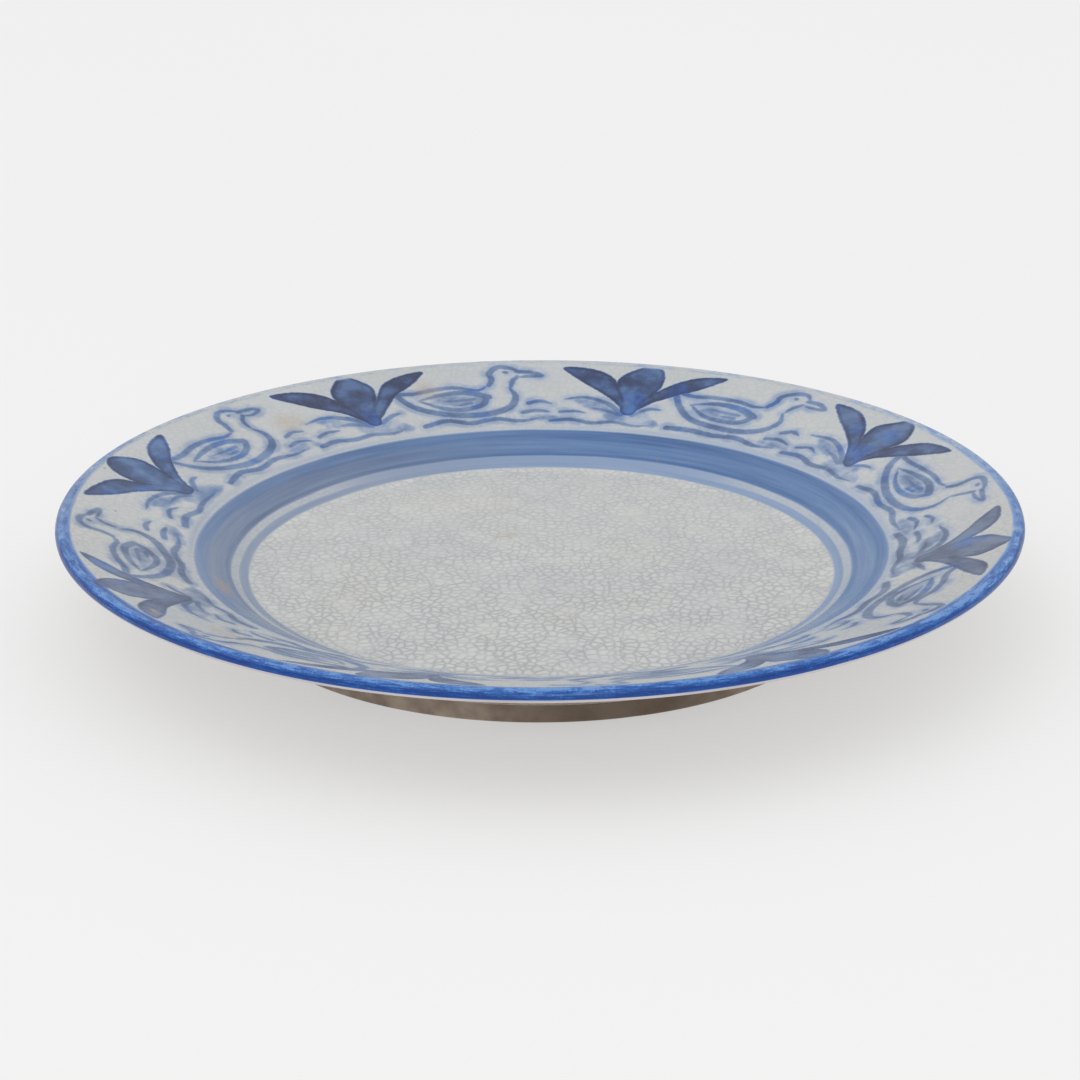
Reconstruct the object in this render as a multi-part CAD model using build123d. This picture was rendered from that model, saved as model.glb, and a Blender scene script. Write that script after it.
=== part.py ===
from build123d import *
from build123d.topology import SkipClean

import os
from math import cos, radians, sin, tan

# A hand painted ceramic plate: a turned clay plate on a foot ring, under its fired coats. Every piece
# is a body of revolution about +Z. The origin is the middle of the plate where it stands, so z = 0 is
# the standing edge of the foot. Lengths are in millimetres and angles in degrees.

# The lip, a half round that ends the rim
PLATE_R = 108.0
LIP_ROUND_R = 1.45
LIP_CENTRE_Z = 23.55

# The face: a flat floor, the side of the well, then the broad rim
FLOOR_Z = 8.3
WELL_CORNER_R = 66.2
WELL_CORNER_ROUND_R = 12.0
SIDE_ANGLE = 30.0
RIM_ANGLE = 19.7
RIM_BREAK_ROUND_R = 24.0

# The underside: below the rim, below the side of the well, then flat within the foot
FLOOR_THICK = 4.9
UNDER_RIM_ANGLE = 21.6
UNDER_SIDE_ANGLE = 33.0
UNDER_BREAK_R = 81.3
UNDER_BREAK_ROUND_R = 20.0

# The foot ring at its standing edge, and how far each wall leans out by its root
FOOT_OUTER_R = 68.6
FOOT_INNER_R = 64.6
FOOT_EDGE_ROUND_R = 0.9
FOOT_LEAN = 0.7
FOOT_ROOT_Z = 6.0

# The fired coats: their thickness, and where each zone of the face ends
COAT = 0.45
WELL_R = 66.6
LINE_R = 70.2
BAND_R = 78.6
BORDER_R = 104.6
LIP_BAND_LOW_Z = 23.1

# The number of arcs that the lip's coat is turned in
LIP_ARCS = 8

# How far the drawn sections run past the axis and past the plate before they are trimmed
SPARE = 4.0


def rise(angle):
    """Height gained for each unit of radius."""
    return tan(radians(angle))


def lip_point(angle):
    """A point of the lip's half round, at an angle above the outward direction."""
    centre_r = PLATE_R - LIP_ROUND_R
    across = LIP_ROUND_R * cos(radians(angle))
    up = LIP_ROUND_R * sin(radians(angle))
    return (centre_r + across, LIP_CENTRE_Z + up)


def face_line():
    """The face, from past the axis out to the lip."""
    lip_r, lip_z = lip_point(90 + RIM_ANGLE)
    rim_z_over_corner = lip_z - (lip_r - WELL_CORNER_R) * rise(RIM_ANGLE)
    run = (rim_z_over_corner - FLOOR_Z) / (rise(SIDE_ANGLE) - rise(RIM_ANGLE))
    rim_break = (WELL_CORNER_R + run, FLOOR_Z + run * rise(SIDE_ANGLE))
    return FilletPolyline(
        (-SPARE, FLOOR_Z),
        (WELL_CORNER_R, FLOOR_Z),
        rim_break,
        (lip_r, lip_z),
        radius=[WELL_CORNER_ROUND_R, RIM_BREAK_ROUND_R],
    )


def under_line():
    """The underside, from the lip in to past the axis."""
    lip_r, lip_z = lip_point(UNDER_RIM_ANGLE - 90)
    break_z = lip_z - (lip_r - UNDER_BREAK_R) * rise(UNDER_RIM_ANGLE)
    flat_z = FLOOR_Z - FLOOR_THICK
    flat_r = UNDER_BREAK_R - (break_z - flat_z) / rise(UNDER_SIDE_ANGLE)
    return FilletPolyline(
        (lip_r, lip_z),
        (UNDER_BREAK_R, break_z),
        (flat_r, flat_z),
        (-SPARE, flat_z),
        radius=[UNDER_BREAK_ROUND_R, WELL_CORNER_ROUND_R],
    )


def plate_section():
    """The section of the plate with its coats, without its foot."""
    face = face_line()
    under = under_line()
    lip = ThreePointArc(face @ 1, lip_point(0), under @ 0)
    axis_end = Line(under @ 1, face @ 0)
    return make_face(Curve() + [face, lip, under, axis_end])


def block(low_r, high_r, low_z, high_z):
    """A rectangle of the section, for trimming."""
    low, high = (low_r, low_z), (high_r, high_z)
    return make_face(Polyline(low, (high_r, low_z), high, (low_r, high_z), close=True))


def foot_section():
    """The section of the foot ring, running on up into the clay above it."""
    blank = make_face(
        Polyline(
            (FOOT_INNER_R, 0),
            (FOOT_OUTER_R, 0),
            (FOOT_OUTER_R + FOOT_LEAN, FOOT_ROOT_Z),
            (FOOT_INNER_R - FOOT_LEAN, FOOT_ROOT_Z),
            close=True,
        )
    )
    return fillet(blank.vertices().group_by(Axis.Y)[0], FOOT_EDGE_ROUND_R)


def face_zone(coats, inner_r, outer_r):
    """The part of the face's coat between two radii."""
    both_sides = coats & block(inner_r, outer_r, 0, LIP_CENTRE_Z + SPARE)
    return both_sides.faces().sort_by(Axis.Y)[-1]


def sections():
    """The section of every node, by name."""
    coated = plate_section()
    right_of_axis = block(0, PLATE_R + SPARE, 0, LIP_CENTRE_Z + SPARE)
    clay = offset(coated, amount=-COAT) & right_of_axis
    foot = foot_section() - clay
    coats = (coated & right_of_axis) - clay - foot_section()
    lip_block = block(BORDER_R, PLATE_R + SPARE, LIP_BAND_LOW_Z, LIP_CENTRE_Z + SPARE)
    found = {
        "clay_body": clay,
        "foot_ring": foot,
        "well_glaze": face_zone(coats, 0, WELL_R),
        "inner_line": face_zone(coats, WELL_R, LINE_R),
        "well_band": face_zone(coats, LINE_R, BAND_R),
        "border_glaze": face_zone(coats, BAND_R, BORDER_R),
        "lip_band": coats & lip_block,
    }
    underside = coats - lip_block
    for name in ("well_glaze", "inner_line", "well_band", "border_glaze"):
        underside = underside - found[name]
    by_radius = underside.faces().sort_by(Axis.X)
    found["foot_well_glaze"] = by_radius[0]
    found["reverse_glaze"] = by_radius[-1]
    return found


def turned(section, turn=360):
    """A section turned into a solid about the plate's axis."""
    return revolve(Plane.XZ * section, axis=Axis.Z, revolution_arc=turn)


def turned_in_arcs(section):
    """The same solid with its faces left as arcs, which a very thin ring needs to mesh evenly."""
    turn = 360 / LIP_ARCS
    arc = turned(section, turn)
    ring = arc
    with SkipClean():
        for k in range(1, LIP_ARCS):
            ring = ring + arc.rotate(Axis.Z, k * turn)
    return ring


def main():
    os.makedirs("parts", exist_ok=True)
    for name, section in sections().items():
        piece = turned_in_arcs(section) if name == "lip_band" else turned(section)
        piece.label = name
        export_step(piece, f"parts/{name}.step")


main()
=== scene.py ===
import math
from functools import partial

import bpy
import numpy as np
from mathutils import Matrix, Vector


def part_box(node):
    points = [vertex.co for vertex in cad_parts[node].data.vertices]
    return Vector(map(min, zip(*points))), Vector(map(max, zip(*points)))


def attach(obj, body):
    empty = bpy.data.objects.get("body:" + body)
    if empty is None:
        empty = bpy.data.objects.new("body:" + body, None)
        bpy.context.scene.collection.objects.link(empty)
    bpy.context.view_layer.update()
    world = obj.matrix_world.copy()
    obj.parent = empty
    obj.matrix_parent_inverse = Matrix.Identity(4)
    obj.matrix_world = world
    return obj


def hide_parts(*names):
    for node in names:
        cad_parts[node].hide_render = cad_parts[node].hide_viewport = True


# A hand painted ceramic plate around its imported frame. The clay body stays as the CAD has it. Each
# fired coat and the foot ring get a denser turned piece of the same form, with a little of the unevenness
# of handwork, and the border's painting is worked out as distances to brush strokes that are stored on
# the mesh. Shapes and paint are in millimetres, and turned_piece makes metres of them.

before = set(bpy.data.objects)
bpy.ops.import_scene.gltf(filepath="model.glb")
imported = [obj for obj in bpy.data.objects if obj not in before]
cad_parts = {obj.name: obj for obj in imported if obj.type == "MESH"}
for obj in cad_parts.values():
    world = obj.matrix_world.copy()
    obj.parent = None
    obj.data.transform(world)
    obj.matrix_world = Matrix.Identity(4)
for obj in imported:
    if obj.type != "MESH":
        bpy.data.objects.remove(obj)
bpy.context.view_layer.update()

MM = 0.001
ON_AXIS = 1e-6  # a radius below this is the axis itself


def reach(node):
    """Outer radius of a CAD node."""
    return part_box(node)[1].x / MM


def top_of(node):
    """Greatest height of a CAD node."""
    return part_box(node)[1].z / MM


def foot_of(node):
    """Least height of a CAD node."""
    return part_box(node)[0].z / MM


# Where the zones end, read from the frame
PLATE_R = reach("lip_band")
CREST_Z = top_of("lip_band")
LIP_BAND_LOW_Z = foot_of("lip_band")
BORDER_R = reach("border_glaze")
BAND_R = reach("well_band")
LINE_R = reach("inner_line")
WELL_R = reach("well_glaze")
UNDER_Z = foot_of("foot_well_glaze")
COAT = top_of("foot_well_glaze") - UNDER_Z
FLOOR_Z = foot_of("well_glaze") + COAT
FOOT_WELL_R = reach("foot_well_glaze")

# The rest of the section, as the CAD has it
LIP_ROUND_R = 1.45
WELL_CORNER_R = 66.2
WELL_CORNER_ROUND_R = 12.0
SIDE_ANGLE = 30.0
RIM_ANGLE = 19.7
RIM_BREAK_ROUND_R = 24.0
UNDER_RIM_ANGLE = 21.6
UNDER_SIDE_ANGLE = 33.0
UNDER_BREAK_R = 81.3
UNDER_BREAK_ROUND_R = 20.0
FOOT_OUTER_R = 68.6
FOOT_INNER_R = 64.6
FOOT_EDGE_ROUND_R = 0.9
FOOT_LEAN = 0.7
FOOT_ROOT_Z = 6.0


# ---------------------------------------------------------------- the section


def rise(angle):
    """Height gained for each unit of radius."""
    return math.tan(math.radians(angle))


def lip_arc(start, end, step=0.2):
    """Points of the lip's half round between two angles above the outward direction."""
    count = max(2, round(abs(start - end) * math.pi / 180 * LIP_ROUND_R / step))
    angles = np.radians(np.linspace(start, end, count + 1))
    centre_r = PLATE_R - LIP_ROUND_R
    centre_z = CREST_Z - LIP_ROUND_R
    across = LIP_ROUND_R * np.cos(angles)
    up = LIP_ROUND_R * np.sin(angles)
    return np.column_stack((centre_r + across, centre_z + up))


def spread(points, step):
    """The same line with points at an even spacing."""
    points = np.asarray(points, float)
    along = np.concatenate(([0], np.cumsum(np.hypot(*np.diff(points, axis=0).T))))
    count = max(1, round(along[-1] / step))
    at = np.linspace(0, along[-1], count + 1)
    return np.column_stack([np.interp(at, along, points[:, k]) for k in (0, 1)])


def rounded(corners, radii, step=0.1):
    """Straight runs with a tangent arc at each inner corner."""
    points = [np.array(corners[0], float)]
    for before, corner, after, radius in zip(corners, corners[1:], corners[2:], radii):
        corner = np.array(corner, float)
        into = corner - before
        into /= np.hypot(*into)
        out = np.array(after, float) - corner
        out /= np.hypot(*out)
        turn = math.atan2(into[0] * out[1] - into[1] * out[0], into @ out)
        arc_start = corner - into * radius * math.tan(abs(turn) / 2)
        side = math.copysign(1, turn)
        centre = arc_start + side * radius * np.array([-into[1], into[0]])
        spoke = arc_start - centre
        count = max(2, round(abs(turn) * radius / step))
        for angle in np.linspace(0, turn, count + 1):
            c, s = math.cos(angle), math.sin(angle)
            points.append(centre + [c * spoke[0] - s * spoke[1], s * spoke[0] + c * spoke[1]])
    points.append(np.array(corners[-1], float))
    return np.array(points)


def face_line():
    """The face, from the axis out to the lip."""
    lip_r, lip_z = lip_arc(90 + RIM_ANGLE, 0)[0]
    run = lip_z - (lip_r - WELL_CORNER_R) * rise(RIM_ANGLE) - FLOOR_Z
    run /= rise(SIDE_ANGLE) - rise(RIM_ANGLE)
    rim_break = (WELL_CORNER_R + run, FLOOR_Z + run * rise(SIDE_ANGLE))
    corners = [(0, FLOOR_Z), (WELL_CORNER_R, FLOOR_Z), rim_break, (lip_r, lip_z)]
    return rounded(corners, [WELL_CORNER_ROUND_R, RIM_BREAK_ROUND_R])


def under_line():
    """The underside, from the lip in to the axis."""
    lip_r, lip_z = lip_arc(0, UNDER_RIM_ANGLE - 90)[-1]
    break_z = lip_z - (lip_r - UNDER_BREAK_R) * rise(UNDER_RIM_ANGLE)
    flat_r = UNDER_BREAK_R - (break_z - UNDER_Z) / rise(UNDER_SIDE_ANGLE)
    corners = [(lip_r, lip_z), (UNDER_BREAK_R, break_z), (flat_r, UNDER_Z), (0, UNDER_Z)]
    return rounded(corners, [UNDER_BREAK_ROUND_R, WELL_CORNER_ROUND_R])


def between(line, low_r, high_r, step):
    """The stretch of a line between two radii, in the line's own direction."""
    rising = line[-1, 0] > line[0, 0]
    ordered = line if rising else line[::-1]
    inside = ordered[(ordered[:, 0] > low_r) & (ordered[:, 0] < high_r)]
    low_r = max(low_r, ordered[0, 0])
    high_r = min(high_r, ordered[-1, 0])
    ends = [(r, np.interp(r, ordered[:, 0], ordered[:, 1])) for r in (low_r, high_r)]
    stretch = spread(np.vstack((ends[:1], inside, ends[1:])), step)
    return stretch if rising else stretch[::-1]


def inward(line):
    """The direction into the clay at each point of a line."""
    along = np.gradient(line, axis=0)
    along /= np.hypot(along[:, 0], along[:, 1])[:, None]
    return np.column_stack((along[:, 1], -along[:, 0]))


def beneath(line, depth):
    """A line moved into the clay by a depth, and listed backwards."""
    moved = line + depth * inward(line)
    moved[line[:, 0] < ON_AXIS, 0] = 0
    return moved[::-1]


# ---------------------------------------------------------------- turned pieces

CLEAR = 9.0  # a distance to paint that stands for none near
MARGIN = 0.004  # round each part of the bake's layout
HIDDEN_SHARE = 0.04  # of the bake's square, for the backs that never show


def handwork(radius, angle):
    """How far the glaze lies below its full height, since it is never quite even on a hand made plate."""
    swell = np.sin(2 * angle + 0.6) + 0.6 * np.sin(3 * angle - radius / 31)
    ripple = 0.4 * np.sin(7 * angle + radius / 9)
    rings = np.sin(radius / 1.9 + np.sin(angle)) + np.sin(radius / 4.7)
    return 0.05 + 0.016 * (swell + ripple) + 0.003 * rings


def turned_points(surface, back, columns, wobble):
    """Rows of points round the closed section, with the surface that shows let down by the wobble."""
    section = np.vstack((surface, back))
    angle = np.arange(columns) * 2 * math.pi / columns
    shown = len(surface)
    radius = np.repeat(section[:, :1], columns, axis=1)
    height = np.repeat(section[:, 1:], columns, axis=1)
    depth = wobble(radius[:shown], angle[None, :])
    way = inward(surface)
    way[surface[:, 0] < ON_AXIS, 0] = 0
    radius[:shown] += depth * way[:, :1]
    height[:shown] += depth * way[:, 1:]
    return np.stack((radius * np.cos(angle), radius * np.sin(angle), height), axis=-1)


def closed_faces(on_axis, columns):
    """Each face as a list of (row, column) corners, as arrays: corner rows, corner columns, face columns."""
    rows = len(on_axis)
    column = np.arange(columns)
    corner_rows, corner_columns, face_columns, sizes = [], [], [], []
    for row in range(rows):
        below = (row + 1) % rows
        if on_axis[row] and on_axis[below]:
            continue
        ring = [(row, column), (row + 1, column), (row + 1, column + 1), (row, column + 1)]
        if on_axis[row]:
            ring.pop(3)
        elif on_axis[below]:
            ring.pop(1)
        corner_rows.append(np.tile([r for r, _ in ring], columns))
        corner_columns.append(np.stack([c for _, c in ring], axis=1).ravel())
        face_columns.append(np.repeat(column, len(ring)))
        sizes += [len(ring)] * columns
    joined = [np.concatenate(part) for part in (corner_rows, corner_columns, face_columns)]
    return (*joined, sizes)


def disc_layout(across, shown):
    """The shown disc fills the bake's square, and its hidden back takes a corner."""
    scale = np.where(shown, 0.5 - MARGIN, HIDDEN_SHARE / 4)
    centre = np.where(shown, 0.5, HIDDEN_SHARE / 2)
    return centre[:, None] + across * scale[:, None]


def ring_layout(row, column, face_column, shown, shown_rows, rows, columns, strips):
    """The shown ring is cut into strips, laid over each other above a sliver for the hidden back."""
    strip = face_column * strips // columns
    u_shown = column * strips / columns - strip
    height = (1 - HIDDEN_SHARE) / strips
    v_shown = HIDDEN_SHARE + height * strip + MARGIN + row / (shown_rows - 1) * (height - 2 * MARGIN)
    v_hidden = (row - shown_rows + 1) / (rows - shown_rows + 1) * (HIDDEN_SHARE - MARGIN)
    u = np.where(shown, u_shown, column / columns)
    return np.column_stack((MARGIN + u * (1 - 2 * MARGIN), np.where(shown, v_shown, v_hidden)))


def turned_piece(name, surface, back, columns, strips=4, wobble=handwork, paint=None):
    """A closed piece turned about Z: surface is the line that shows, and back is its hidden side."""
    points = turned_points(surface, back, columns, wobble)
    rows, shown_rows = len(points), len(surface)
    on_axis = np.vstack((surface, back))[:, 0] < ON_AXIS
    row, column, face_column, sizes = closed_faces(on_axis, columns)

    starts = np.concatenate(([0], np.cumsum(np.where(on_axis, 1, columns))))
    wrapped = row % rows
    corner = starts[wrapped] + np.where(on_axis[wrapped], 0, column % columns)
    faces = [f.tolist() for f in np.split(corner, np.cumsum(sizes)[:-1])]
    kept = [points[i, :1] if on_axis[i] else points[i] for i in range(rows)]
    vertex_row = np.repeat(np.arange(rows), [len(k) for k in kept])
    vertices = np.vstack(kept)
    mesh = bpy.data.meshes.new(name)
    mesh.from_pydata(vertices * MM, [], faces)
    mesh.polygons.foreach_set("use_smooth", np.ones(len(faces), bool))

    face_top = np.repeat([f_row.min() for f_row in np.split(row, np.cumsum(sizes)[:-1])], sizes)
    shown = face_top < shown_rows - 1
    if on_axis.any():
        across = points[wrapped, column % columns, :2] / np.abs(points[..., :2]).max()
        layout = disc_layout(across, shown)
    else:
        layout = ring_layout(row, column, face_column, shown, shown_rows, rows, columns, strips)
    layer = mesh.uv_layers.new(name="OFBake")
    layer.data.foreach_set("uv", layout.astype(np.float32).ravel())

    at_end = (vertex_row == 0) | (vertex_row == shown_rows - 1)
    ends = np.zeros(len(mesh.edges) * 2, np.int32)
    mesh.edges.foreach_get("vertices", ends)
    sharp = mesh.attributes.new("sharp_edge", "BOOLEAN", "EDGE")
    sharp.data.foreach_set("value", at_end[ends.reshape(-1, 2)].all(axis=1))

    if paint is not None:
        x, y = vertices[:, 0], vertices[:, 1]
        for field, values in paint(np.hypot(x, y), np.arctan2(y, x)).items():
            values[vertex_row >= shown_rows] = CLEAR
            layer = mesh.attributes.new(field, "FLOAT", "POINT")
            layer.data.foreach_set("value", values.astype(np.float32))
    piece = bpy.data.objects.new(name, mesh)
    bpy.context.scene.collection.objects.link(piece)
    return piece


# ---------------------------------------------------------------- the border's painting

# The border repeats a tuft of water leaves and a swimming bird, both of a plain kind. Points are given as
# (across, radius): across runs clockwise from the middle of the tuft, in millimetres at the radius where it
# is drawn true. A line gives the width of the brush at its start and at its end first.
REPEATS = 8
DRAWN_R = 92.0
FIRST_TUFT = math.radians(30)
REACH = 3.2  # paint further away than this doesn't count

BIRD_LINES = [
    # the body, from the raised tail round the breast, and the back
    (1.7, 2.2, [(9.5, 96.4), (12, 90.8), (17.4, 86.6), (25, 84.4), (33, 84.8), (39, 87.4), (41.2, 91),
                (39.6, 94.8)]),
    (1.6, 1.3, [(9.5, 96.4), (14.6, 95), (20, 95.7), (26, 95.9), (31, 95), (34.2, 96)]),
    # the neck, the round head and the bill
    (1.4, 1.5, [(34.2, 96), (35.4, 98.4), (35.3, 101), (37.2, 103.1), (40.2, 103.1), (42.2, 101.6)]),
    (1.5, 1.0, [(42.2, 101.6), (45.2, 101), (47.6, 100.1), (44.8, 99.4), (41.8, 99.6)]),
    (1.2, 1.3, [(41.8, 99.6), (40.3, 97.6), (39.6, 94.8)]),
    (1.1, 1.1, [(39, 101.3), (39.5, 101.4)]),
    # the folded wing and its feathers
    (2.2, 1.3, [(33.4, 91.6), (28.4, 93.3), (21.6, 93), (15, 91.9)]),
    (2.0, 1.2, [(33.4, 91.6), (31.4, 88.6), (26, 87.2), (20, 88.5), (15, 91.9)]),
    (1.4, 0.9, [(29.6, 91), (25, 90.8), (20.6, 91)]),
    (1.3, 0.9, [(28.8, 89.2), (25, 88.9)]),
]
WATER_LINES = [
    # ripples beneath, before and behind the bird
    (1.8, 1.3, [(13, 81.6), (20, 82.5), (27, 81.4), (34, 82.4), (41, 81.5), (47, 82.3)]),
    (1.4, 0.9, [(44.6, 88.4), (47.4, 89.2), (50.4, 88.3)]),
    (1.4, 0.9, [(42.4, 84.8), (46.2, 85.6), (50.4, 84.7)]),
    (1.7, 1.1, [(-21, 81.4), (-15, 82.2), (-9, 81.3), (-3, 82.1), (3, 81.2), (8, 82)]),
    (1.3, 0.9, [(-18.6, 85), (-15, 85.8), (-11.4, 85)]),
]
PLANT_LINES = [
    # thin blades that bend out from the foot of the tuft
    (1.8, 1.0, [(-1.6, 85.4), (-6, 89), (-12, 91.2), (-18.4, 90.6)]),
    (1.5, 0.9, [(-2, 84.8), (-6.4, 86.6), (-11, 87.4)]),
    (1.6, 0.9, [(1.8, 85.2), (5.4, 87.6), (8.6, 88.2)]),
]
PLANT_SHAPES = [
    # three broad leaves that fan out towards the lip
    [(-2, 85.6), (-3.6, 91), (-5.6, 96), (-5.4, 100.6), (-2.2, 104.2), (0.6, 106), (3.6, 104), (5.8, 100),
     (5.2, 95.4), (3, 90.6), (2, 85.6)],
    [(-1.6, 86.4), (-6, 91.2), (-10.8, 95), (-15.6, 98.4), (-20, 103.6), (-13.6, 103.2), (-8.2, 100),
     (-4.8, 95.6), (-1.6, 90)],
    [(1.6, 86.4), (1.6, 90), (5, 95.6), (8.6, 100), (13.4, 103), (19.6, 103.8), (15.6, 99), (10.4, 95),
     (5.4, 90.8)],
]
WASHES = [
    # at the foot of the tuft, among its thin blades, inside the wing, and on the water
    [(-6, 84), (-2, 87), (3, 87), (8, 84.6), (10, 81.6), (0, 81.4)],
    [(-4, 86), (-9, 89.6), (-15, 90.4), (-13, 87.4), (-8, 86)],
    [(19, 90), (25, 88.4), (31, 89.4), (31, 91.6), (22, 92.4)],
    [(41, 83.2), (46, 84), (51.6, 83.4), (50, 82.2), (44, 82)],
]
# Each tuft's share of grey in its blue, and how much paint it holds, round the plate from the first
TUFT_GREYS = [0.4, 0.15, 0.3, 0.1, 0.75, 0.5, 0.3, 0.9]
TUFT_LOADS = [0.92, 1.0, 1.05, 0.92, 0.78, 0.85, 0.9, 0.76]


def curve(points, closed=False, spans=5):
    """A smooth line through given points."""
    points = np.asarray(points, float)
    if closed:
        padded = np.vstack((points[-1:], points, points[:2]))
    else:
        padded = np.vstack((2 * points[0] - points[1], points, 2 * points[-1] - points[-2]))
    made = []
    for a, b, c, d in zip(padded, padded[1:], padded[2:], padded[3:]):
        bend = 2 * a - 5 * b + 4 * c - d
        twist = 3 * b - a - 3 * c + d
        for t in np.arange(spans) / spans:
            made.append(0.5 * (2 * b + (c - a) * t + bend * t**2 + twist * t**3))
    made.append(points[0] if closed else points[-1])
    return np.array(made)


def stroke_distance(x, y, line, start_width=0.0, end_width=0.0):
    """Distance to the edge of a brush stroke; negative within it. The brush presses hardest early on."""
    best = np.full(x.shape, CLEAR)
    count = len(line) - 1
    for k, (start, end) in enumerate(zip(line, line[1:])):
        way = end - start
        t = ((x - start[0]) * way[0] + (y - start[1]) * way[1]) / max(way @ way, ON_AXIS)
        t = np.clip(t, 0, 1)
        along = (k + t) / count
        width = (start_width + (end_width - start_width) * along) * (1 - 0.35 * (2 * along - 0.8) ** 4)
        away = np.hypot(x - start[0] - t * way[0], y - start[1] - t * way[1])
        best = np.minimum(best, away - width / 2)
    return best


def shape_distance(x, y, outline):
    """Distance to the edge of a painted shape; negative within it."""
    edge = stroke_distance(x, y, outline)
    inside = np.zeros(x.shape, bool)
    for (ax, ay), (bx, by) in zip(outline, outline[1:]):
        if ay != by:
            inside ^= ((ay > y) != (by > y)) & (x < (bx - ax) * (y - ay) / (by - ay) + ax)
    return np.where(inside, -edge, edge)


def painting(radius, angle):
    """The fields that the border's and the lip's materials read: distances to strokes, shapes and washes."""
    chance = np.random.default_rng(7)
    fields = {name: np.full(radius.shape, CLEAR) for name in ("stroke", "shape", "wash")}
    grey = np.zeros(radius.shape)
    load = np.ones(radius.shape)

    def lay(field, points, distance):
        low, high = points.min(axis=0) - REACH, points.max(axis=0) + REACH
        near = (across > low[0]) & (across < high[0]) & (radius > low[1]) & (radius < high[1])
        values = distance(across[near], radius[near], points)
        fields[field][near] = np.minimum(fields[field][near], values)

    def by_hand(points):
        points = np.asarray(points, float) * (stretch, 1) + (shift, lift)
        points[:, 0] += lean * (points[:, 1] - DRAWN_R)
        return points + chance.normal(0, 0.24, points.shape)

    for repeat in range(REPEATS):
        middle = FIRST_TUFT + 2 * math.pi * repeat / REPEATS
        turned = (middle - angle + math.pi / 3) % (2 * math.pi) - math.pi / 3
        across = turned * DRAWN_R
        shift, lift = chance.normal(0, 0.6), chance.normal(0, 0.15)
        stretch, lean = chance.normal(1, 0.015), chance.normal(0, 0.1)
        broad = chance.uniform(1.0, 1.25)
        for start_width, end_width, points in BIRD_LINES + WATER_LINES + PLANT_LINES:
            start = start_width * broad * chance.uniform(0.85, 1.12)
            end = end_width * broad * chance.uniform(0.85, 1.12)
            brushed = partial(stroke_distance, start_width=start, end_width=end)
            lay("stroke", curve(by_hand(points)), brushed)
        for points in PLANT_SHAPES:
            lay("shape", curve(by_hand(points), closed=True), shape_distance)
        for points in WASHES:
            lay("wash", curve(by_hand(points), closed=True), shape_distance)
        own = np.abs(across - 12) < math.pi * DRAWN_R / REPEATS
        grey[own] = TUFT_GREYS[repeat]
        load[own] = TUFT_LOADS[repeat]
    return {**fields, "grey": grey, "load": load}


# ---------------------------------------------------------------- materials


def tint(red, green, blue):
    """A colour from its screen values."""
    linear = [((v / 255 + 0.055) / 1.055) ** 2.4 if v > 10 else v / 255 / 12.92 for v in (red, green, blue)]
    return (*linear, 1.0)


GLAZE_WHITE = tint(192, 193, 190)
GLAZE_COOL = tint(178, 182, 186)
GLAZE_TAN = tint(190, 178, 152)
# painted shade: the grey that the border's white is drawn towards on its far half
FAR_HALF_SHADE_GREY = tint(172, 177, 183)
CRACK_GREY = tint(124, 128, 136)
HALO_GREY = tint(150, 153, 158)
RUST = tint(150, 108, 58)
TEA = tint(168, 146, 112)
# Cobalt under the glaze, from thin to thick: as brushed on the rings and strokes, where iron greys it, and
# where it is pure on the lip
COBALT = [(0.0, tint(168, 178, 192)), (0.3, tint(130, 150, 181)), (0.5, tint(94, 125, 168)),
          (0.65, tint(68, 103, 152)), (0.8, tint(38, 72, 122)), (1.0, tint(12, 37, 82))]
GREYED = [(0.0, tint(168, 174, 182)), (0.35, tint(124, 134, 152)), (0.7, tint(80, 88, 112)),
          (1.0, tint(46, 48, 70))]
ROYAL = [(0.0, tint(150, 178, 214)), (0.3, tint(96, 142, 202)), (0.6, tint(40, 102, 176)),
         (0.85, tint(4, 74, 152)), (1.0, tint(0, 55, 132))]


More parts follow.
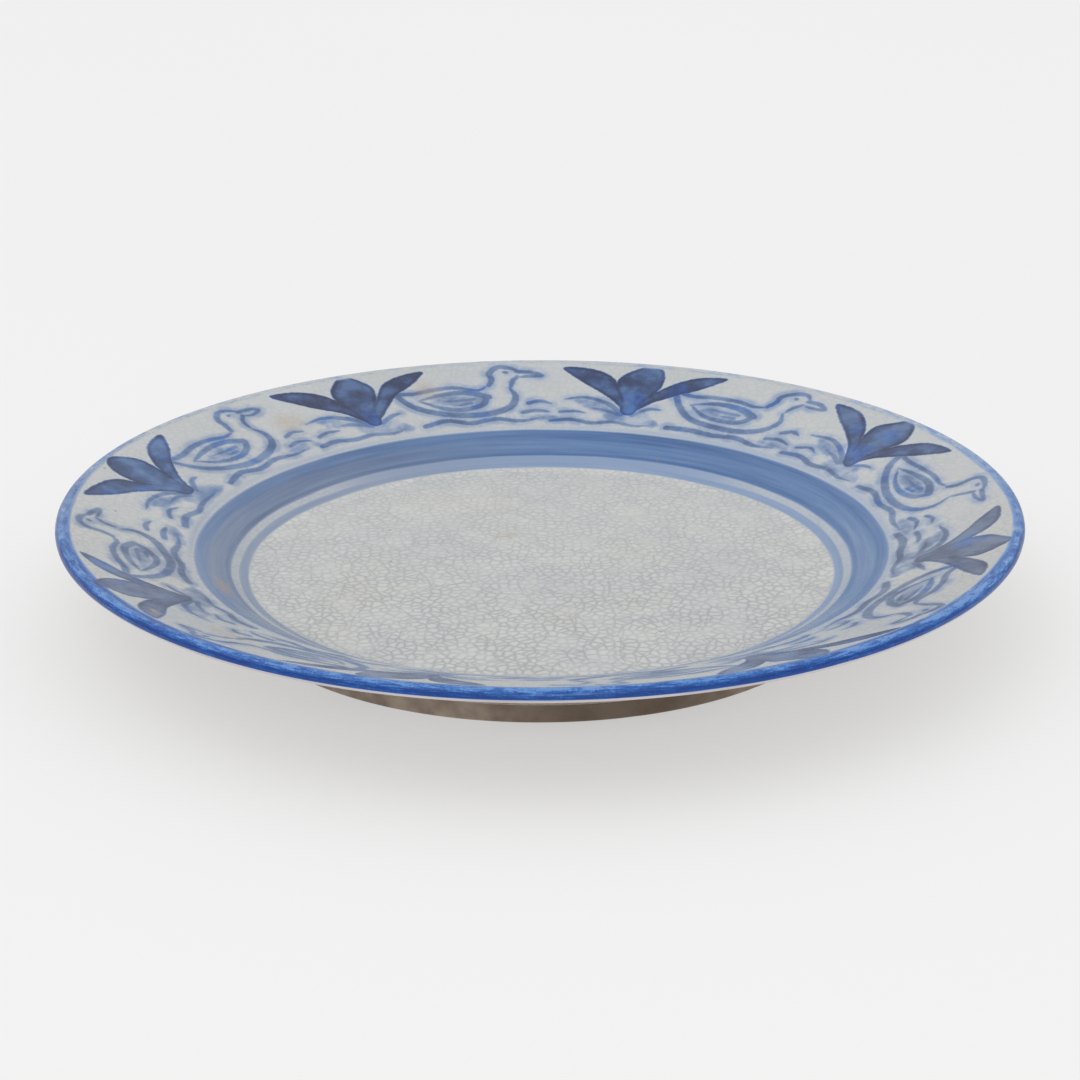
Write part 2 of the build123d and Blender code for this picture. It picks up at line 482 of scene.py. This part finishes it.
class Graph:
    """One material's nodes, with short calls that each return the new node's output."""

    def __init__(self, name):
        self.material = bpy.data.materials.new(name)
        self.material.use_nodes = True
        self.tree = self.material.node_tree
        self.tree.nodes.clear()
        at = self.node("TexCoord").outputs["Object"]
        self.place = self.vector("SCALE", at, scale=1 / MM)
        self.flat = self.vector("MULTIPLY", self.place, (1, 1, 0))
        self.radius = self.node("VectorMath", operation="LENGTH", feed=[self.flat]).outputs["Value"]
        self.height = self.node("SeparateXYZ", feed=[self.place]).outputs["Z"]
        # along the brush or the potter's finger: slow round the plate, quick across the ring
        self.heading = self.vector("NORMALIZE", self.flat)
        ring = self.node("CombineXYZ", feed=[0, 0, self.radius]).outputs[0]
        self.brushed = self.vector("ADD", self.vector("SCALE", self.heading, scale=7), ring)
        sides = self.node("SeparateXYZ", feed=[self.heading])
        self.rightward, self.backward = sides.outputs["X"], sides.outputs["Y"]

    def node(self, kind, feed=(), **settings):
        made = self.tree.nodes.new("ShaderNode" + kind)
        for key, value in settings.items():
            setattr(made, key, value)
        for socket, value in (feed.items() if isinstance(feed, dict) else enumerate(feed)):
            self.give(made.inputs[socket], value)
        return made

    def give(self, socket, value):
        if isinstance(value, bpy.types.NodeSocket):
            self.tree.links.new(value, socket)
        else:
            socket.default_value = value

    def vector(self, operation, a, b=None, scale=None):
        made = self.node("VectorMath", operation=operation, feed=[a] if b is None else [a, b])
        if scale is not None:
            self.give(made.inputs["Scale"], scale)
        return made.outputs["Vector"]

    def math(self, operation, *values, clamp=False):
        return self.node("Math", operation=operation, use_clamp=clamp, feed=values).outputs[0]

    def times(self, *values):
        product = values[0]
        for value in values[1:]:
            product = self.math("MULTIPLY", product, value)
        return product

    def plus(self, *values):
        total = values[0]
        for value in values[1:]:
            total = self.math("ADD", total, value)
        return total

    def most(self, *values):
        largest = values[0]
        for value in values[1:]:
            largest = self.math("MAXIMUM", largest, value)
        return largest

    def fade(self, value, start, end, low=0.0, high=1.0):
        """Low at start and high at end, with a smooth change between them."""
        feed = {"Value": value, "From Min": start, "From Max": end, "To Min": low, "To Max": high}
        return self.node("MapRange", interpolation_type="SMOOTHSTEP", feed=feed).outputs[0]

    def within(self, value, low, high, soft):
        """One between low and high, with soft edges."""
        above = self.fade(value, low - soft, low + soft)
        below = self.fade(value, high + soft, high - soft)
        return self.times(above, below)

    def noise(self, place, size, detail=2.0, roughness=0.5, distortion=0.0):
        """Noise from 0 to 1 with features about size millimetres apart."""
        feed = {"Vector": place, "Scale": 1 / size, "Detail": detail, "Roughness": roughness,
                "Distortion": distortion}
        return self.node("TexNoise", feed=feed).outputs[0]

    def wander(self, place, size, amount):
        """The place, moved about by up to half the amount."""
        noise = self.node("TexNoise", feed={"Vector": place, "Scale": 1 / size, "Detail": 1.0}).outputs[1]
        moved = self.vector("SCALE", self.vector("SUBTRACT", noise, (0.5,) * 3), scale=amount)
        return self.vector("ADD", place, moved)

    def mix(self, share, a, b, blend="MIX"):
        made = self.node("Mix", data_type="RGBA", blend_type=blend)
        for socket, value in ((0, share), (6, a), (7, b)):
            self.give(made.inputs[socket], value)
        return made.outputs[2]

    def ramp(self, value, stops):
        made = self.node("ValToRGB", feed=[value])
        points = made.color_ramp.elements
        while len(points) < len(stops):
            points.new(1.0)
        for point, (at, colour) in zip(points, stops):
            point.position = at
            point.color = colour
        return made.outputs[0]

    def field(self, name):
        return self.node("Attribute", attribute_name=name, attribute_type="GEOMETRY").outputs["Fac"]

    def finish(self, colour, roughness, relief, depth, ior=1.45):
        """The surface: relief is a height from 0 to 1, worth a depth in millimetres."""
        bump = self.node("Bump", feed={"Strength": 1.0, "Distance": depth * MM, "Height": relief}).outputs[0]
        feed = {"Base Color": colour, "Roughness": roughness, "Normal": bump, "IOR": ior}
        surface = self.node("BsdfPrincipled", feed=feed).outputs[0]
        self.node("OutputMaterial", feed=[surface])
        return self.material


def cracks(g, cell, width, seed):
    """A net of cracks round cells of a size: a line share, a soft halo share, and a tone for each cell."""
    place = g.wander(g.vector("ADD", g.flat, (seed, 2 * seed, 0)), cell * 1.7, cell * 0.7)
    feed = {"Vector": place, "Scale": 1 / cell}
    to_edge = g.node("TexVoronoi", voronoi_dimensions="2D", feature="DISTANCE_TO_EDGE", feed=feed)
    edge = to_edge.outputs["Distance"]
    tone = g.node("TexVoronoi", voronoi_dimensions="2D", feature="F1", feed=feed).outputs["Color"]
    line = g.fade(edge, width / cell, 0.2 * width / cell)
    halo = g.fade(edge, 0.36, 0.0)
    return line, halo, g.node("SeparateColor", feed=[tone]).outputs[0]


def crackle(g):
    """A fine net of cracks with grey halos and a wider one through it: a line, a halo and a tone share."""
    wide, _, wide_tone = cracks(g, 9.5, 0.3, 31)
    fine, halo, fine_tone = cracks(g, 2.1, 0.22, 87)
    # the cracks have taken up more colour in some places. They are drawn fainter on the far half, as the
    # photo shows them, though that may be its focus and not the glaze
    nearer = g.fade(g.times(g.radius, g.backward), 55, -50, 0.6, 1.05)
    kept = g.times(nearer, g.fade(g.noise(g.flat, 9, 3), 0.3, 0.62, 0.4, 1.0))
    line = g.most(g.times(wide, nearer, 0.75), g.times(fine, kept, 0.6))
    tone = g.plus(g.times(wide_tone, 0.4), g.times(fine_tone, 0.6))
    return line, g.times(halo, kept), tone


def specks(g, size, spacing, share):
    """Scattered round specks, one in each cell that is dark enough."""
    feed = {"Vector": g.wander(g.flat, 1.5, 0.5), "Scale": 1 / spacing}
    cell = g.node("TexVoronoi", voronoi_dimensions="2D", feed=feed)
    picked = g.math("LESS_THAN", g.node("SeparateColor", feed=[cell.outputs["Color"]]).outputs[1], share)
    return g.times(picked, g.fade(cell.outputs["Distance"], size / spacing, 0.4 * size / spacing))


def ground(g, tan=0.5):
    """The white glaze with its cool and tan clouds."""
    cool = g.fade(g.noise(g.flat, 26, 3), 0.42, 0.66)
    warm = g.fade(g.noise(g.vector("ADD", g.flat, (90, 10, 0)), 34, 4, 0.6), 0.5, 0.72)
    white = g.mix(g.times(cool, 0.4), GLAZE_WHITE, GLAZE_COOL)
    return g.mix(g.times(warm, tan), white, GLAZE_TAN)


RINGS_CENTRE = (0.3, -0.2, 0)  # the painted rings were turned a little off the plate's middle


def ring_paint(g):
    """How much cobalt the narrow line and the broad band hold at each place, and where it is greyed."""
    off = g.node("VectorMath", operation="DISTANCE", feed=[g.flat, RINGS_CENTRE]).outputs["Value"]
    edge = g.plus(off, g.times(g.plus(g.noise(g.brushed, 2.4, 3), -0.5), 0.8))
    streaks = g.plus(g.noise(g.vector("MULTIPLY", g.brushed, (0.3, 0.3, 1.0)), 0.9, 4, 0.65), -0.5)
    cloud = g.plus(g.noise(g.brushed, 5.5, 2), -0.5)
    inner = g.within(edge, LINE_R, LINE_R + 1.3, 0.4)
    outer = g.within(edge, BAND_R - 3.4, BAND_R, 1.0)
    # the brush was fuller on the far half, where it also closed the gap inside the band
    fuller = g.fade(g.backward, -0.1, 0.45)
    closed = g.fade(g.backward, 0.6, 0.95)
    body = g.plus(0.45, g.times(fuller, 0.09), g.times(inner, 0.07), g.times(outer, 0.09))
    thinner_left = g.fade(g.rightward, -0.5, -1.0, 0.0, -0.06)
    body = g.plus(body, g.times(streaks, 0.42), g.times(cloud, 0.3), thinner_left)
    broad = g.times(g.within(edge, LINE_R, BAND_R - 0.3, 0.5), body)
    line = g.times(g.within(edge, WELL_R - 0.2, LINE_R - 1.6, 0.5), g.plus(0.34, g.times(streaks, 0.3)))
    gap = g.times(g.within(edge, WELL_R + 1.0, LINE_R + 0.3, 0.5), g.plus(0.13, g.times(closed, 0.18)))
    bleed = g.times(g.within(edge, BAND_R - 1.0, BAND_R + 2.0, 1.6), g.plus(0.15, g.times(cloud, 0.3)))
    grey = g.times(g.fade(g.rightward, 0.2, -0.85, 0.0, 0.62), g.fade(outer, 0.0, 1.0, 1.0, 0.4))
    return g.most(line, broad, gap, bleed), grey


def lip_paint(g):
    """How much cobalt the lip holds: it washes a little way in over the border, and stops below the crest.
    Its depth also carries painted light and shade.
    """
    ragged = g.plus(g.noise(g.brushed, 5, 3, 0.6), -0.5)
    nearer = g.fade(g.backward, 0.0, -0.7, 0.0, 0.9)
    over = g.fade(g.plus(g.radius, g.times(ragged, 2.4), nearer), BORDER_R - 0.1, BORDER_R + 1.7)
    under = g.fade(g.plus(g.height, g.times(ragged, 0.25)), LIP_BAND_LOW_Z - 0.1, LIP_BAND_LOW_Z + 0.25)
    streaks = g.noise(g.vector("MULTIPLY", g.place, (0.1, 0.1, 1.6)), 0.42, 4, 0.7)
    spread_out = g.noise(g.vector("MULTIPLY", g.place, (0.1, 0.1, 0.1)), 1.3, 2)
    # thin over the crest and thick outside it where it ran down; this also paints light and shade in, a
    # painted highlight on the crest that faces up and painted shade on the outer face below. By the photo it
    # is thinnest of all on the far side
    depth = g.fade(g.height, CREST_Z - 0.1, CREST_Z - 0.95, 0.5, 0.88)
    depth = g.plus(depth, g.fade(g.backward, -0.2, 0.7, 0.0, -0.3))
    grain = g.times(g.plus(g.noise(g.place, 0.4, 2), -0.5), 0.5)
    uneven = g.plus(g.times(g.plus(streaks, -0.5), 1.8), g.times(g.plus(spread_out, -0.5), 0.6), grain)
    depth = g.plus(depth, g.times(uneven, g.fade(g.backward, 0.0, -0.6, 0.45, 1.0)))
    # on the near side it is never so thin that the white shows
    depth = g.most(depth, g.fade(g.backward, 0.0, -0.6, 0.0, 0.4))
    # in places a thin dark line follows the blue's inner edge
    drawn = g.within(g.plus(g.radius, g.times(ragged, 0.8), nearer), BORDER_R + 1.5, BORDER_R + 1.9, 0.3)
    drawn = g.times(drawn, g.fade(g.noise(g.brushed, 3.0, 2), 0.45, 0.58), g.fade(g.backward, -0.4, -0.7))
    depth = g.plus(depth, g.times(drawn, 0.4))
    return g.times(over, under, g.fade(depth, 0.0, 1.0))


def painted(g):
    """How much cobalt the brush left on the border, from the distances stored on the mesh."""
    ragged = g.times(g.plus(g.noise(g.place, 1.3, 3, 0.6), -0.5), 0.6)
    load = g.noise(g.place, 6.5, 3, 0.6)
    stroke = g.fade(g.plus(g.field("stroke"), ragged), 0.45, -0.4)
    stroke = g.times(stroke, g.fade(load, 0.3, 0.7, 0.45, 0.73))
    near_shape = g.plus(g.field("shape"), ragged)
    shape = g.fade(near_shape, 0.28, -0.35)
    pooled = g.times(g.within(near_shape, -0.9, 0.1, 0.4), 0.16)
    filled = g.fade(g.noise(g.place, 6.5, 3, 0.55), 0.3, 0.7, 0.64, 1.0)
    # the shapes stop short of the lip, most of all on the far side
    reach_out = g.plus(g.radius, g.fade(g.backward, 0.2, 0.8, 0.0, 1.1))
    shape = g.times(shape, g.plus(filled, pooled), g.field("load"))
    shape = g.times(shape, g.fade(reach_out, BORDER_R + 2.0, BORDER_R + 0.7))
    wash = g.times(g.fade(g.plus(g.field("wash"), ragged), 0.7, -0.8), g.fade(load, 0.35, 0.65, 0.1, 0.3))
    haze = g.times(g.fade(g.field("stroke"), 2.8, 0.0), g.fade(load, 0.34, 0.7, 0.08, 0.3))
    return g.most(stroke, shape, g.plus(wash, haze)), shape


def cobalt(g, under, amount, grey, royal):
    """The white glaze under an amount of cobalt, drawn towards grey or towards royal blue."""
    blue = g.ramp(amount, COBALT)
    blue = g.mix(grey, blue, g.ramp(amount, GREYED))
    blue = g.mix(royal, blue, g.ramp(amount, ROYAL))
    return g.mix(g.fade(amount, 0.01, 0.24), under, blue)


def stain(g, angle, radius, length, breadth):
    """One ragged stain on the glaze: its share at each place. Length and breadth are half sizes."""
    out = Vector((math.cos(math.radians(angle)), math.sin(math.radians(angle)), 0))
    along = Vector((-out.y, out.x, 0))
    away = g.vector("SUBTRACT", g.wander(g.flat, 2.0, 1.6), out * radius)
    sides = [(along, length), (out, breadth)]
    parts = [g.node("VectorMath", operation="DOT_PRODUCT", feed=[away, way / half]).outputs["Value"]
             for way, half in sides]
    distance = g.node("VectorMath", operation="LENGTH", feed=[g.node("CombineXYZ", feed=parts).outputs[0]])
    return g.fade(distance.outputs["Value"], 1.0, 0.2)


# Tea coloured stains: the angle and radius of each, its half length and half breadth, and its strength
STAINS = [(219, 100.3, 3.4, 1.1, 0.7), (133, 93, 7.0, 5.0, 0.3), (199, 73.4, 8.0, 3.0, 0.4),
          (228, 93, 9.0, 4.0, 0.3), (108, 96, 5.0, 6.0, 0.3), (-83, 63.4, 0.9, 0.9, 0.9),
          (112, 20, 5.0, 2.4, 0.25)]


def glaze(name, is_painted=False, cracked=1.0, tan=0.12):
    """The glazed face: white glaze, the painted rings, the lip, and on the border the brushwork."""
    g = Graph(name)
    white = ground(g, tan)
    lip = lip_paint(g)
    rings, grey = ring_paint(g)
    amount = g.most(rings, lip)
    royal = g.times(g.fade(lip, 0.1, 0.4), g.fade(g.backward, -0.5, 0.1, 1.0, 0.45))
    if is_painted:
        # painted shade: the white is drawn greyer on the far half, as the photo shows it, standing in for the
        # light there and not a colour of the glaze
        white = g.mix(g.fade(g.backward, -0.5, 0.5, 0.08, 0.42), white, FAR_HALF_SHADE_GREY)
        brushed, shape = painted(g)
        amount = g.most(amount, brushed)
        greyed = g.times(g.field("grey"), g.fade(shape, 0.15, 0.5, 0.4, 0.85))
        greyed = g.plus(greyed, g.fade(shape, 0.15, 0.5, 0.28, 0.0))
        grey = g.mix(g.fade(brushed, 0.1, 0.4), grey, greyed)
        pure = g.times(g.fade(g.noise(g.place, 8, 2), 0.55, 0.68), g.fade(brushed, 0.3, 0.6), 0.5)
        royal = g.most(g.times(royal, g.fade(shape, 0.7, 0.3, 0.35, 1.0)), pure)
        amount = g.most(amount, g.times(specks(g, 0.4, 4.0, 0.35), g.fade(lip, 0.2, 0.5), 0.95))
    line, halo, tone = crackle(g)
    shade = g.plus(1.0, g.times(g.plus(tone, -0.5), 0.1 * cracked))
    white = g.mix(1.0, white, g.node("CombineColor", feed=[shade, shade, shade]).outputs[0], "MULTIPLY")
    white = g.mix(g.times(halo, 0.6 * cracked), white, HALO_GREY)
    white = g.mix(g.times(line, 0.36 * cracked), white, CRACK_GREY)
    colour = cobalt(g, white, amount, grey, royal)
    colour = g.mix(g.times(line, 0.12, g.fade(lip, 0.4, 0.1)), colour, CRACK_GREY)
    for angle, radius, length, breadth, strength in STAINS:
        share = g.times(stain(g, angle, radius, length, breadth), strength)
        colour = g.mix(share, colour, TEA)
    colour = g.mix(g.times(specks(g, 0.5, 21, 0.1), 0.7), colour, RUST)
    roughness = g.fade(g.noise(g.place, 9, 3), 0.3, 0.7, 0.2, 0.34)
    relief = g.plus(g.times(g.noise(g.place, 1.6, 2), 0.5), g.times(line, -0.5))
    return g.finish(colour, roughness, relief, 0.03)


def underside(name):
    """The reverse: the same crackle under a greyer, dirtier glaze, with rings left by turning."""
    g = Graph(name)
    white = g.mix(0.55, ground(g, 0.6), tint(176, 166, 152))
    edge = g.fade(g.radius, PLATE_R - 3.0, PLATE_R - 1.0)
    white = g.mix(g.times(edge, 0.8), white, tint(214, 204, 208))
    line, halo, tone = crackle(g)
    clean = g.fade(g.radius, PLATE_R - 1.2, PLATE_R - 3.2)
    white = g.mix(g.times(halo, clean, 0.35), white, tint(150, 140, 128), "MULTIPLY")
    white = g.mix(g.times(line, clean, 0.6), white, tint(112, 104, 98))
    turned = g.noise(g.brushed, 1.6, 3)
    white = g.mix(g.fade(turned, 0.4, 0.7, 0.0, 0.25), white, tint(150, 138, 122))
    colour = cobalt(g, white, lip_paint(g), 0.0, 1.0)
    colour = g.mix(g.times(specks(g, 0.5, 14, 0.2), 0.7), colour, RUST)
    roughness = g.fade(g.noise(g.place, 7, 3), 0.3, 0.7, 0.24, 0.42)
    relief = g.plus(g.times(turned, 0.6), g.times(line, -0.3))
    return g.finish(colour, roughness, relief, 0.04)


def bare_clay(name, light, dark, stains):
    """Unglazed fired clay: grain, turning rings, brown stains where it has stood on tables, and painted shade
    on one stretch of its side.
    """
    g = Graph(name)
    grain = g.noise(g.place, 0.45, 4, 0.7)
    turned = g.noise(g.brushed, 0.7, 3, 0.6)
    cloud = g.noise(g.place, 11, 4, 0.6)
    colour = g.mix(g.fade(cloud, 0.35, 0.65, 0.0, 0.6), light, dark)
    # painted shade: where the ring faces a little to the right, front and back, it is drawn darker, standing
    # in for the shadow on the foot
    colour = g.mix(g.times(g.within(g.rightward, -0.1, 0.55, 0.2), 0.8), colour, dark)
    colour = g.mix(g.fade(turned, 0.45, 0.7, 0.0, 0.35), colour, dark)
    colour = g.mix(g.fade(grain, 0.55, 0.75, 0.0, 0.3), colour, light)
    stained = g.times(g.fade(g.noise(g.brushed, 4, 3, 0.6), 0.52, 0.72), g.fade(g.height, 3.0, 0.2))
    colour = g.mix(g.times(stained, stains), colour, RUST)
    roughness = g.fade(grain, 0.3, 0.7, 0.62, 0.85)
    relief = g.plus(g.times(grain, 0.5), g.times(turned, 0.5))
    return g.finish(colour, roughness, relief, 0.06)


FLOOR_GLOW = 0.48  # a light table keeps the plate's shadow faint


def floor_material():
    """The pale top of a light table."""
    g = Graph("studio_floor")
    shade = g.fade(g.noise(g.place, 900, 2), 0.3, 0.7, 0.355, 0.365)
    colour = g.node("CombineColor", feed=[shade, shade, shade]).outputs[0]
    material = g.finish(colour, 0.9, g.noise(g.place, 4, 2), 0.01)
    surface = material.node_tree.nodes["Principled BSDF"]
    surface.inputs["Emission Color"].default_value = (1, 1, 1, 1)
    surface.inputs["Emission Strength"].default_value = FLOOR_GLOW
    return material


# ---------------------------------------------------------------- the pieces


def add_piece(piece, nodes, material):
    """Gives a finished piece its material and ties it to the frame."""
    piece.data.materials.append(material)
    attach(piece, "root")
    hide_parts(*nodes)
    return piece


FACE = face_line()
UNDER = under_line()
# How many points go round each piece: more where it is painted, since the painting is stored on them
PLAIN_ROUND = 720
FOOT_ROUND = 900
RING_ROUND = 1080
PAINTED_ROUND = 1760
BAND_SKIN = 0.2  # the painted bands lie this deep on the well's glaze, which runs out beneath them
LIP_LOW_ANGLE = -math.degrees(math.asin((CREST_Z - LIP_ROUND_R - LIP_BAND_LOW_Z) / LIP_ROUND_R))


def make_well():
    """The crackled white field. Its glaze runs on under the painted bands."""
    field = between(FACE, 0, WELL_R, 0.8)
    ledge = between(FACE, WELL_R, BAND_R, 0.8)
    back = np.vstack((beneath(ledge, BAND_SKIN)[::-1], beneath(ledge, COAT), beneath(field, COAT)))
    piece = turned_piece("well_crackle_glaze", field, back, PLAIN_ROUND)
    return add_piece(piece, ["well_glaze"], glaze("well_crackle"))


def make_band(name, node, slot, low_r, high_r):
    """One painted ring on the side of the well."""
    line = between(FACE, low_r, high_r, 0.4)
    piece = turned_piece(name, line, beneath(line, BAND_SKIN), RING_ROUND, strips=8)
    return add_piece(piece, [node], glaze(slot, cracked=0.7))


def make_border():
    """The sloping rim with its brushwork."""
    line = between(FACE, BAND_R, BORDER_R, 0.32)
    piece = turned_piece("painted_border", line, beneath(line, COAT), PAINTED_ROUND, paint=painting)
    return add_piece(piece, ["border_glaze"], glaze("painted_border", True, 0.35))


def make_lip():
    """The blue lip, from the border's edge over the crest to just under it."""
    inner = between(FACE, BORDER_R, PLATE_R, 0.2)
    line = np.vstack((inner, lip_arc(90 + RIM_ANGLE, LIP_LOW_ANGLE)[1:]))
    back = beneath(line, COAT)
    piece = turned_piece("cobalt_lip", line, back, PAINTED_ROUND, strips=8, paint=painting)
    return add_piece(piece, ["lip_band"], glaze("cobalt_lip", True, 0.3))


def make_reverse():
    """The glaze under the rim, from the lip in to the foot."""
    root_r = FOOT_OUTER_R + FOOT_LEAN * 0.7
    under_lip = lip_arc(LIP_LOW_ANGLE, UNDER_RIM_ANGLE - 90)
    line = np.vstack((under_lip, between(UNDER, root_r, PLATE_R, 0.6)[1:]))
    piece = turned_piece("reverse_crackle_glaze", line, beneath(line, COAT), RING_ROUND)
    return add_piece(piece, ["reverse_glaze"], underside("reverse_crackle"))


def make_foot_well():
    """The glaze inside the foot."""
    line = between(UNDER, 0, FOOT_WELL_R, 0.8)
    piece = turned_piece("foot_well_crackle_glaze", line, beneath(line, COAT), PLAIN_ROUND)
    return add_piece(piece, ["foot_well_glaze"], underside("foot_well_crackle"))


def worn_edge(radius, angle):
    """Turning grooves and small wear on the bare foot."""
    grooves = 0.5 + 0.5 * np.sin(radius * 9 + 2 * np.sin(angle))
    wear = np.clip(np.sin(13 * angle) + np.sin(29 * angle + 1) - 1.3, 0, 1)
    return 0.02 * grooves + 0.05 * wear


def make_foot():
    """The bare clay foot ring."""
    root_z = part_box("foot_ring")[1].z / MM
    lean = FOOT_LEAN / FOOT_ROOT_Z
    corners = [
        (FOOT_OUTER_R + lean * root_z, root_z),
        (FOOT_OUTER_R, 0),
        (FOOT_INNER_R, 0),
        (FOOT_INNER_R - lean * UNDER_Z, UNDER_Z),
    ]
    line = spread(rounded(corners, [FOOT_EDGE_ROUND_R] * 2), 0.2)
    back = spread([(FOOT_INNER_R, root_z - 0.6), (FOOT_OUTER_R - 0.4, root_z - 0.2)], 1.0)
    piece = turned_piece("bare_foot_ring", line, back, FOOT_ROUND, strips=8, wobble=worn_edge)
    # the foot's clay is drawn much darker than the body's: partly its own stained clay, partly painted shade
    # for the shadow under the rim
    clay = bare_clay("bare_foot", tint(172, 156, 142), tint(96, 80, 66), 0.5)
    return add_piece(piece, ["foot_ring"], clay)


def clothe_clay():
    """The clay body stays as the CAD has it, in plain fired clay."""
    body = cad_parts["clay_body"]
    body.data.materials.clear()
    body.data.materials.append(bare_clay("fired_clay", tint(190, 178, 160), tint(160, 146, 128), 0.0))


# ---------------------------------------------------------------- the studio

CAMERA_ELEVATION = 19.82
CAMERA_DISTANCE = 0.55
CAMERA_LENS = 80.98
LOOK_BELOW = 0.93  # degrees that the camera looks below the middle of the lip
CAMERA_ROLL = -0.15
FLOOR_HALF = 6.0
FLOOR_GAP = 0.0002


def add_camera():
    """A long lens, a little above the plate."""
    middle = Vector((0, 0, (CREST_Z - LIP_ROUND_R) * MM))
    up = math.radians(CAMERA_ELEVATION)
    data = bpy.data.cameras.new("camera")
    data.lens = CAMERA_LENS
    camera = bpy.data.objects.new("camera", data)
    camera.location = middle + CAMERA_DISTANCE * Vector((0, -math.cos(up), math.sin(up)))
    tip = Matrix.Rotation(math.radians(90 - CAMERA_ELEVATION - LOOK_BELOW), 3, "X")
    camera.rotation_euler = (tip @ Matrix.Rotation(math.radians(CAMERA_ROLL), 3, "Z")).to_euler()
    bpy.context.scene.collection.objects.link(camera)
    bpy.context.scene.camera = camera


def add_floor():
    """A plain square floor, just below the foot."""
    half = FLOOR_HALF
    corners = [(-half, -half, 0), (half, -half, 0), (half, half, 0), (-half, half, 0)]
    mesh = bpy.data.meshes.new("floor")
    mesh.from_pydata(corners, [], [(0, 1, 2, 3)])
    floor = bpy.data.objects.new("floor", mesh)
    floor.location.z = -FLOOR_GAP
    mesh.materials.append(floor_material())
    bpy.context.scene.collection.objects.link(floor)


def add_light(name, place, size, watts):
    """A square soft box that faces the plate."""
    data = bpy.data.lights.new(name, "AREA")
    data.size = size
    data.energy = watts
    lamp = bpy.data.objects.new(name, data)
    lamp.location = place
    lamp.rotation_euler = (-Vector(place)).to_track_quat("-Z", "Y").to_euler()
    bpy.context.scene.collection.objects.link(lamp)


def add_world(horizon, overhead):
    """A soft white sky, brighter overhead than at the horizon."""
    world = bpy.data.worlds.new("studio")
    world.use_nodes = True
    tree = world.node_tree
    up = tree.nodes.new("ShaderNodeSeparateXYZ")
    tree.links.new(tree.nodes.new("ShaderNodeTexCoord").outputs["Generated"], up.inputs[0])
    change = tree.nodes.new("ShaderNodeMapRange")
    change.interpolation_type = "SMOOTHSTEP"
    tree.links.new(up.outputs["Z"], change.inputs["Value"])
    for socket, value in (("From Min", 0.0), ("From Max", 0.75), ("To Min", horizon), ("To Max", overhead)):
        change.inputs[socket].default_value = value
    background = tree.nodes["Background"]
    background.inputs["Color"].default_value = (1, 1, 1, 1)
    tree.links.new(change.outputs[0], background.inputs["Strength"])
    bpy.context.scene.world = world


add_camera()
make_well()
make_band("cobalt_line", "inner_line", "cobalt_line", WELL_R, LINE_R)
make_band("cobalt_well_band", "well_band", "cobalt_band", LINE_R, BAND_R)
make_border()
make_lip()
make_reverse()
make_foot_well()
make_foot()
clothe_clay()
add_floor()
add_light("key", (-0.9, -0.5, 1.5), 1.6, 4.0)
add_light("front", (0.0, -2.4, 0.7), 1.0, 3.0)
add_light("glint", (0.2, -1.3, 0.75), 0.22, 1.2)
add_world(0.45, 1.06)
bpy.context.scene.view_settings.view_transform = "Standard"
